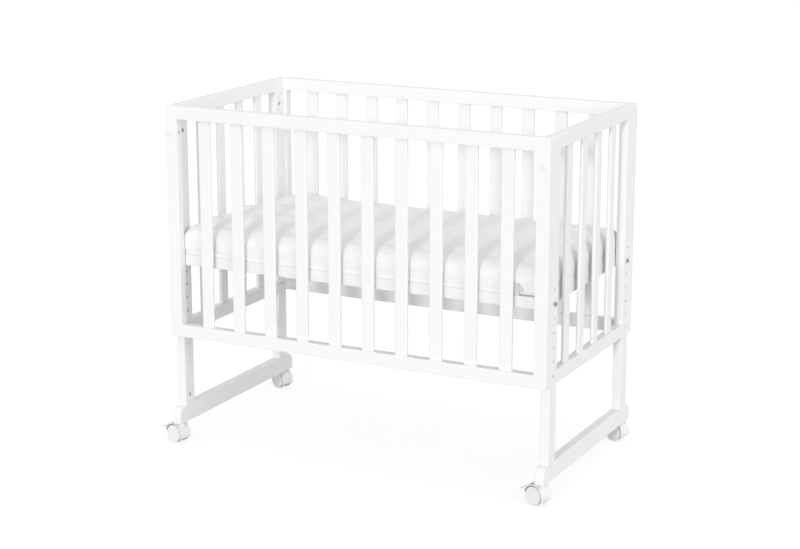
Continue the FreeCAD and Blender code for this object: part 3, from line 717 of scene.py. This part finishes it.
# ---------------------------------------------------------------- mattress
@dataclass(frozen=True)
class Crease:
    """One soft fold pressed into the mattress's top."""

    start: tuple[float, float]
    end: tuple[float, float]
    depth: float
    width: float
    bank_share: float = 0.45
    bank_reach: float = 2.2
    end_fade: float = 0.12

    def sink(self, place: Vector) -> float:
        """How far the cover lies below its neighbourhood at a place.

        Args:
            place: The place.

        Returns:
            The sink in metres, below 0 on the banks beside the fold.
        """
        start = Vector(self.start)
        along = Vector(self.end) - start
        offset = place.xy - start
        share = min(1.0, max(0.0, offset.dot(along) / along.length_squared))
        away = (offset - along * share).length
        bank = self.bank_share * bell(away - self.bank_reach * self.width, self.width)
        run = self.end_fade + (1.0 - 2.0 * self.end_fade) * share
        return self.depth * (bell(away, self.width) - bank) * math.sin(math.pi * run)


@dataclass
class Mattress:
    """The sewn mattress: a rounded core, swollen as cloth, with a seam low on its sides."""

    low: Vector
    high: Vector
    room: tuple[float, float] = (0.4531, 0.2371)
    side_swell: float = 0.010
    end_swell: float = 0.002
    roll_width: float = 0.040
    end_roll_width: float = 0.020
    roll_drop: float = 0.031
    roll_rings: int = 16
    flat_share: float = 0.02
    corner_power: float = 12.0
    corner_steps: int = 24
    foot_inset: float = 0.002
    foot_height: float = 0.004
    foot_rings: int = 4
    foot_reach: tuple[float, float] = (0.4525, 0.2354)
    foot_ledge: float = 0.0125
    foot_fade: tuple[float, float] = (0.004, 0.009)
    under_label: tuple[float, float] = (0.398, 0.442)
    weld: float = 0.00001
    voxel: float = 0.0065
    pressure: float = 4.0
    swell_limit: float = 0.008
    last_frame: int = 20
    held_fade: tuple[float, float] = (0.001, 0.004)
    seam_hold: float = 0.9
    seam_hold_width: float = 0.003
    least_hold: float = 0.02
    lump_height: float = 0.0024
    lump_pitch: tuple[float, float] = (7.0, 9.0)
    lump_layer: float = 1.7
    lump_fade: tuple[float, float] = (0.004, 0.02)
    fold_height: float = 0.0100
    fold_pitch: tuple[float, float, float] = (9.0, 13.0, 7.0)
    fold_slant: float = 4.0
    fold_layer: float = 4.2
    fold_gain: float = 2.2
    fold_level: float = 0.45
    fold_end: tuple[float, float] = (0.35, 0.85)
    seam_height: float = 0.0085
    seam_depth: float = 0.0012
    seam_width: float = 0.0042
    creases: tuple[Crease, ...] = (
        Crease((-0.452, 0.067), (-0.376, 0.015), 0.0070, 0.011),
        Crease((-0.432, -0.135), (-0.415, -0.060), -0.0046, 0.018),
        Crease((-0.405, -0.200), (-0.380, -0.145), 0.0062, 0.011),
        Crease((-0.340, -0.055), (-0.275, -0.005), 0.0045, 0.012),
        Crease((-0.365, 0.086), (-0.300, 0.050), 0.0052, 0.012),
        Crease((-0.445, 0.190), (-0.370, 0.172), 0.0056, 0.012),
        Crease((-0.300, 0.086), (-0.232, 0.058), 0.0034, 0.013),
        Crease((-0.330, -0.190), (-0.300, -0.130), 0.0034, 0.012),
        Crease((-0.040, -0.205), (0.000, -0.185), 0.0018, 0.007),
        Crease((0.445, 0.040), (0.380, -0.020), 0.0026, 0.010),
        Crease((0.445, -0.120), (0.390, -0.150), 0.0024, 0.010),
    )

    @property
    def half(self) -> Vector:
        """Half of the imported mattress's size each way."""
        return (self.high - self.low) / 2

    def contour(self, share: float, inset: float) -> list[tuple[float, float]]:
        """One closed line round the mattress in plan, from its flat middle (0) to its sides (1).

        Args:
            share: How far the line is out from the flat middle towards the sides.
            inset: How far the whole line is drawn in, in metres.

        Returns:
            The line's points, counter-clockwise.
        """
        half = self.half
        flat_x = half.x + self.end_swell - self.end_roll_width
        flat_y = half.y + self.side_swell - self.roll_width
        end_reach = self.end_roll_width * share - inset
        side_reach = self.roll_width * share - inset
        power = 2.0 / self.corner_power
        points = []
        for quarter in range(4):
            side_x = 1.0 if quarter in (0, 3) else -1.0
            side_y = 1.0 if quarter in (0, 1) else -1.0
            for step in range(self.corner_steps + 1):
                angle = math.pi / 2 * (quarter + step / self.corner_steps)
                across, along = math.cos(angle), math.sin(angle)
                out_x = math.copysign(abs(across) ** power, across) * end_reach
                out_y = math.copysign(abs(along) ** power, along) * side_reach
                points.append((side_x * flat_x + out_x, side_y * flat_y + out_y))
        return points

    def profile(self) -> list[tuple[float, float, float]]:
        """The section from the bottom's rim over the roll to the flat top.

        Returns:
            The share, inset and height of each ring.
        """
        shoulder = self.high.z - self.low.z - self.roll_drop
        rings = []
        for step in range(self.foot_rings):
            angle = math.pi / 2 * step / self.foot_rings
            inset = self.foot_inset * (1.0 - math.sin(angle))
            rings.append((1.0, inset, self.foot_height * (1.0 - math.cos(angle))))
        for step in range(self.roll_rings + 1):
            angle = math.pi / 2 * step / self.roll_rings
            share = max(self.flat_share, math.cos(angle))
            rings.append((share, 0.0, shoulder + self.roll_drop * math.sin(angle)))
        return rings

    def core(self) -> bpy.types.Mesh:
        """The unswollen shape: rings of points stacked from the bottom to the flat top.

        Returns:
            The shape, closed.
        """
        shape = bmesh.new()
        centre = (self.low + self.high) / 2
        rings = []
        for share, inset, height in self.profile():
            line = self.contour(share, inset)
            level = self.low.z + height
            rings.append([shape.verts.new((centre.x + x, centre.y + y, level)) for x, y in line])
        for lower, upper in zip(rings, rings[1:]):
            for index, point in enumerate(lower):
                after = (index + 1) % len(lower)
                shape.faces.new((point, lower[after], upper[after], upper[index]))
        shape.faces.new(list(reversed(rings[0])))
        shape.faces.new(rings[-1])
        bmesh.ops.remove_doubles(shape, verts=shape.verts, dist=self.weld)
        bmesh.ops.recalc_face_normals(shape, faces=shape.faces)
        mesh = bpy.data.meshes.new("mattress_core")
        shape.to_mesh(mesh)
        shape.free()
        return mesh

    def even_skin(self) -> bpy.types.Mesh:
        """The core's surface as even small squares.

        Returns:
            The skin that the filling swells.
        """
        block = linked("mattress_block", self.core())
        remesh = block.modifiers.new("even", "REMESH")
        remesh.mode = "VOXEL"
        remesh.voxel_size = self.voxel
        mesh = baked(block, "mattress_skin")
        discard(block)
        return mesh

    def hold(self, cover: bpy.types.Object, places: list[Vector]) -> bpy.types.VertexGroup:
        """Pin the cover along its bottom and its seam.

        Args:
            cover: The cover.
            places: Where its points lie.

        Returns:
            The group of held points.
        """
        held = cover.vertex_groups.new(name="held")
        for index, place in enumerate(places):
            rise = place.z - self.low.z
            bottom = 1.0 - ease(rise, *self.held_fade)
            weight = max(bottom, self.seam_hold * bell(rise - self.seam_height, self.seam_hold_width))
            if weight > self.least_hold:
                held.add([index], weight, "REPLACE")
        return held

    def swollen(self, skin: bpy.types.Mesh) -> list[Vector]:
        """Where the cover lies once the filling pushes it out.

        The core is firm, so no point moves inwards, and each move is eased so that none passes the limit.

        Args:
            skin: The even skin at rest.

        Returns:
            A place for each point of the skin.
        """
        rest = [point.co.copy() for point in skin.vertices]
        outward = [point.normal.copy() for point in skin.vertices]
        cover = linked("mattress_cover", skin)
        held = self.hold(cover, rest)
        cloth = cover.modifiers.new("swell", "CLOTH")
        settings = cloth.settings
        settings.quality = 5
        settings.mass = 0.25
        settings.tension_stiffness = 14.0
        settings.compression_stiffness = 14.0
        settings.shear_stiffness = 6.0
        settings.bending_stiffness = 2.0
        settings.vertex_group_mass = held.name
        settings.use_pressure = True
        settings.uniform_pressure_force = self.pressure
        settings.effector_weights.gravity = 0.0
        cloth.collision_settings.use_collision = False
        cloth.collision_settings.use_self_collision = False
        cloth.point_cache.frame_start = 1
        cloth.point_cache.frame_end = self.last_frame
        for frame in range(1, self.last_frame + 1):
            bpy.context.scene.frame_set(frame)
        mesh = baked(cover, "mattress_swollen")
        bpy.context.scene.frame_set(1)
        places = []
        for start, normal, point in zip(rest, outward, mesh.vertices):
            move = point.co - start
            move -= normal * min(0.0, move.dot(normal))
            places.append(start + move / (1.0 + move.length / self.swell_limit))
        bpy.data.meshes.remove(mesh)
        discard(cover)
        return places

    def settled(self, place: Vector, outward: Vector) -> Vector:
        """A swollen point with the filling's lumps, the seam and a bottom that lies flat.

        Args:
            place: The point on the swollen cover.
            outward: The cover's normal there.

        Returns:
            The point where it comes to rest.
        """
        half = self.half
        along = (place.x - (self.low.x + half.x)) / half.x
        rise = place.z - self.low.z
        x_pitch, y_pitch = self.lump_pitch
        lump = noise.noise(Vector((place.x * x_pitch, place.y * y_pitch, self.lump_layer)))
        x_pitch, y_pitch, z_pitch = self.fold_pitch
        slanted = place.x * x_pitch + place.y * self.fold_slant
        fold = noise.noise(Vector((slanted, place.y * y_pitch, place.z * z_pitch + self.fold_layer)))
        puff = self.fold_gain * abs(fold) - self.fold_level
        amount = self.lump_height * lump + self.fold_height * ease(-along, *self.fold_end) * puff
        amount *= ease(rise, *self.lump_fade)
        amount -= max(0.0, outward.z) * sum(crease.sink(place) for crease in self.creases)
        amount -= self.seam_depth * bell(rise - self.seam_height, self.seam_width) * (1.0 - abs(outward.z))
        moved = place + outward * amount
        moved.x = min(self.room[0], max(-self.room[0], moved.x))
        moved.y = min(self.room[1], max(-self.room[1], moved.y))
        moved.z = max(moved.z, self.low.z)
        return moved

    def grounded(self, place: Vector) -> Vector:
        """A point of the finished cover, with the foot of each side brought straight down onto the base.

        Args:
            place: The point on the cover.

        Returns:
            The point, moved outwards where it is part of a side's foot.
        """
        share = 1.0 - ease(place.z - self.low.z, *self.foot_fade)
        start, end = self.under_label
        lifted = place.y < 0.0 and start < place.x < end
        moved = place.copy()
        for axis, reach in enumerate(self.foot_reach):
            away = abs(place[axis])
            if reach - self.foot_ledge < away < reach and not (lifted and axis == 1):
                moved[axis] = math.copysign(away + (reach - away) * share, place[axis])
        moved.z = max(moved.z, self.low.z)
        return moved

    def build(self, finish: CoverCloth) -> bpy.types.Object:
        """Make the mattress and lay it on the base.

        Args:
            finish: The cover's cloth.

        Returns:
            The mattress.
        """
        skin = self.even_skin()
        places = self.swollen(skin.copy())
        for point, place in zip(skin.vertices, places):
            point.co = place
        skin.update()
        normals = [point.normal.copy() for point in skin.vertices]
        for point, normal in zip(skin.vertices, normals):
            point.co = self.settled(point.co, normal)
        skin.update()
        rough = linked("mattress_rough", skin)
        finer = rough.modifiers.new("finer", "SUBSURF")
        finer.levels = 1
        finer.render_levels = 1
        mesh = baked(rough, "mattress_pad")
        discard(rough)
        for point in mesh.vertices:
            point.co = self.grounded(point.co)
        mesh.shade_smooth()
        pad = linked("mattress_pad", mesh)
        dress(pad, finish.material())
        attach(pad, "mattress")
        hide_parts("mattress")
        log.info("mattress: %d faces", len(mesh.polygons))
        return pad


@dataclass
class TapeLabel:
    """The blank label: two leaves of tape sewn into one seam, hanging fanned before the mattress's edge."""

    low: Vector
    high: Vector
    columns: int = 14
    rows: int = 22
    tilts: tuple[float, float] = (math.radians(8.0), math.radians(31.0))
    front_line: float = -0.2366
    leaf_gap: float = 0.0007
    stand_off: float = 0.0006
    thickness: float = 0.0004
    strip: str = "strip"

    @property
    def width(self) -> float:
        """The tape's width."""
        return self.high.x - self.low.x

    @property
    def length(self) -> float:
        """One leaf's length."""
        return self.high.z - self.low.z

    def leaf(self, shape: bmesh.types.BMesh, depth: float, tilt: float) -> None:
        """Add one leaf of tape that hangs from the seam.

        Args:
            shape: The label so far.
            depth: Where the leaf's top lies, from front to back.
            tilt: How far its free end swings to the right, in radians.
        """
        width = self.width
        length = self.length
        grid = bmesh.ops.create_grid(shape, x_segments=self.columns, y_segments=self.rows, size=0.5)
        made = grid["verts"]
        stretch = Matrix.Diagonal((width, length, 1.0)).to_4x4()
        bmesh.ops.transform(shape, matrix=stretch, verts=made)
        layer = shape.loops.layers.uv.verify()
        for face in {face for point in made for face in point.link_faces}:
            for corner in face.loops:
                corner[layer].uv = corner.vert.co.xy
        upright = Matrix.Rotation(math.radians(90.0), 3, "X")
        bmesh.ops.rotate(shape, matrix=upright, verts=made)
        pivot = Vector((self.low.x, depth, self.high.z))
        bmesh.ops.translate(shape, vec=pivot + Vector((width / 2, 0.0, -length / 2)), verts=made)
        for point in made:
            hang = (self.high.z - point.co.z) / length
            point.co.y -= self.stand_off * math.sin(math.pi * hang)
        bmesh.ops.rotate(shape, cent=pivot, matrix=Matrix.Rotation(-tilt, 3, "Y"), verts=made)
        for point in made:
            point.co.z = max(self.low.z, min(self.high.z, point.co.z))

    def build(self) -> bpy.types.Object:
        """Make both leaves and hang them on the mattress.

        Returns:
            The label.
        """
        width = self.width
        length = self.length
        mesh = bpy.data.meshes.new("mattress_tape")
        shape = bmesh.new()
        for order, tilt in enumerate(self.tilts):
            self.leaf(shape, self.front_line + order * self.leaf_gap, tilt)
        shape.to_mesh(mesh)
        shape.free()
        mesh.uv_layers[0].name = self.strip
        mesh.shade_smooth()
        tape = linked("mattress_tape", mesh)
        wall = tape.modifiers.new("wall", "SOLIDIFY")
        wall.thickness = self.thickness
        wall.offset = 0.0
        dress(tape, WovenTape("label_tape", self.strip, width / 2).material())
        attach(tape, "mattress")
        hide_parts("mattress_label")
        size = (width / MILLIMETRE, length / MILLIMETRE)
        log.info("label: %d leaves of %.1f by %.1f mm", len(self.tilts), *size)
        return tape


# ---------------------------------------------------------------- casters
@dataclass
class Caster:
    """One twin-wheel caster with its hood and foot lever."""

    corner: str
    nodes: dict[str, bpy.types.Object]
    lever_paint: bpy.types.Material
    hood_inside: float = 0.0232
    # Painted shade: offsets from the hood's inside and from each wheel's rim over which the plastic turns
    # grey, for the shadow in the gap between them.
    hood_blend: tuple[float, float] = (0.0012, 0.0003)
    tread_blend: tuple[float, float] = (-0.0013, -0.0003)

    @property
    def body(self) -> str:
        """The name of the caster's turning body."""
        return f"caster_{self.corner}"

    def build(self) -> None:
        """Finish the hood, the lever and both wheels."""
        dress(self.nodes[f"{self.body}_brake"], self.lever_paint)
        stem = middle(f"{self.body}_stem")
        axle = middle(f"{self.body}_axle")
        direction = math.atan2(axle.y - stem.y, axle.x - stem.x)
        rims = {}
        for wheel in ("wheel_a", "wheel_b"):
            low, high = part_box(f"{self.body}_{wheel}")
            rims[wheel] = ((high.z - low.z) / 2, self.tread_blend)
        rims["hood"] = (self.hood_inside, self.hood_blend)
        # Painted shade for the gap between wheel and hood, on each wheel's rim and on the hood's inside.
        for piece, (radius, (unshaded, grey)) in rims.items():
            name = f"{self.body}_{piece}"
            white = AxledPlastic(f"{name}_white", axle, direction, radius + unshaded, radius + grey)
            dress(self.nodes[name], white.material())
        log.info("caster %s trails at %.0f degrees", self.corner, math.degrees(direction))


# ---------------------------------------------------------------- studio
@dataclass
class Studio:
    """Pale floor, soft light and the camera."""

    camera_place: Vector = Vector((1.9612, -3.8709, 1.5004))
    camera_pitch: float = 14.10
    camera_yaw: float = 26.93
    lens: float = 86.08
    sensor: float = 36.0
    key_azimuth: float = 6.0
    key_height: float = 12.0
    key_strength: float = 0.98
    key_angle: float = 6.0
    fill_azimuth: float = 66.0
    fill_height: float = 12.0
    fill_strength: float = 1.00
    fill_angle: float = 45.0
    fill_colour: Colour = (1.0, 0.985, 0.955)
    sky_strength: float = 0.79
    floor_half: float = 40.0
    floor_glow: float = 0.78
    floor_shade: float = 0.28
    floor_bounce: float = 0.66

    def sun(self, name: str, azimuth: float, height: float, strength: float, angle: float) -> bpy.types.Light:
        """Add one soft distant lamp.

        Args:
            name: The lamp's name.
            azimuth: Degrees to the right of straight in front.
            height: Degrees above the horizon.
            strength: Light on a face square to it.
            angle: How wide the lamp looks, in degrees.

        Returns:
            The lamp's data.
        """
        light = bpy.data.lights.new(name, "SUN")
        light.energy = strength
        light.angle = math.radians(angle)
        lamp = bpy.data.objects.new(name, light)
        turn = (math.radians(90.0 - height), 0.0, math.radians(azimuth))
        lamp.rotation_euler = Euler(turn)
        bpy.context.scene.collection.objects.link(lamp)
        return light

    def background_rays(self, graph: NodeGraph) -> Value:
        """A share that is 1 for rays that show the backdrop directly, in a mirror or through glass.

        Args:
            graph: The tree that needs it.

        Returns:
            The socket with the share.
        """
        path = graph.node("ShaderNodeLightPath")
        seen = graph.maths("MAXIMUM", path.outputs["Is Camera Ray"], path.outputs["Is Glossy Ray"])
        return graph.maths("MAXIMUM", seen, path.outputs["Is Transmission Ray"])

    def lights(self) -> None:
        """Set the world and the two lamps."""
        self.sun("key", self.key_azimuth, self.key_height, self.key_strength, self.key_angle)
        fill = self.sun("fill", self.fill_azimuth, self.fill_height, self.fill_strength, self.fill_angle)
        fill.color = self.fill_colour
        graph = NodeGraph(bpy.data.worlds.new("studio"))
        bpy.context.scene.world = graph.owner
        strength = graph.spread(self.background_rays(graph), 0.0, 1.0, self.sky_strength)
        sky = graph.node("ShaderNodeBackground", {"Color": WHITE, "Strength": strength})
        graph.node("ShaderNodeOutputWorld", {"Surface": sky.outputs[0]})

    def floor(self) -> bpy.types.Object:
        """Lay the pale floor, white to the eye with a faint shadow of the crib.

        Returns:
            The floor.
        """
        shape = bmesh.new()
        bmesh.ops.create_grid(shape, x_segments=1, y_segments=1, size=self.floor_half)
        mesh = bpy.data.meshes.new("floor")
        shape.to_mesh(mesh)
        shape.free()
        floor = linked("floor", mesh)
        graph = NodeGraph.of_material("pale_floor")
        seen = self.background_rays(graph)
        glow = graph.node("ShaderNodeEmission", {"Color": WHITE, "Strength": self.floor_glow})
        dim = graph.node("ShaderNodeBsdfDiffuse", {"Color": (self.floor_shade,) * 3})
        pale = graph.node("ShaderNodeBsdfDiffuse", {"Color": (self.floor_bounce,) * 3})
        both = graph.node("ShaderNodeAddShader", {0: glow.outputs[0], 1: dim.outputs[0]})
        chosen = graph.node("ShaderNodeMixShader", {0: seen, 1: pale.outputs[0], 2: both.outputs[0]})
        graph.node("ShaderNodeOutputMaterial", {"Surface": chosen.outputs[0]})
        dress(floor, graph.owner)
        return floor

    def camera(self) -> None:
        """Stand the camera where the crib is seen as from eye level, in front and to the right."""
        data = bpy.data.cameras.new("camera")
        data.lens = self.lens
        data.sensor_width = self.sensor
        camera = bpy.data.objects.new("camera", data)
        camera.location = self.camera_place
        turn = (math.radians(90.0 - self.camera_pitch), 0.0, math.radians(self.camera_yaw))
        camera.rotation_euler = Euler(turn)
        bpy.context.scene.collection.objects.link(camera)
        bpy.context.scene.camera = camera

    def build(self) -> None:
        """Set up the whole studio."""
        bpy.context.scene.view_settings.view_transform = "Standard"
        self.lights()
        self.floor()
        self.camera()
        log.info("studio ready")


def main() -> None:
    """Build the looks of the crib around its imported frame."""
    logging.basicConfig(level=logging.INFO, format="%(name)s: %(message)s")
    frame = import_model()
    nodes = frame["nodes"]
    Studio().build()
    PaintedFrame(nodes).build()
    Fittings(nodes).build()
    cover = CoverCloth("mattress_cotton", colour=(0.90, 0.902, 0.906), shade=(0.865, 0.868, 0.875))
    Mattress(*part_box("mattress")).build(cover)
    TapeLabel(*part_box("mattress_label")).build()
    lever = MouldedPlastic("lever_white", (0.74, 0.74, 0.735), smooth=0.36, dull=0.48).material()
    for corner in CORNERS:
        Caster(corner, nodes, lever).build()


if __name__ == "__main__":
    main()
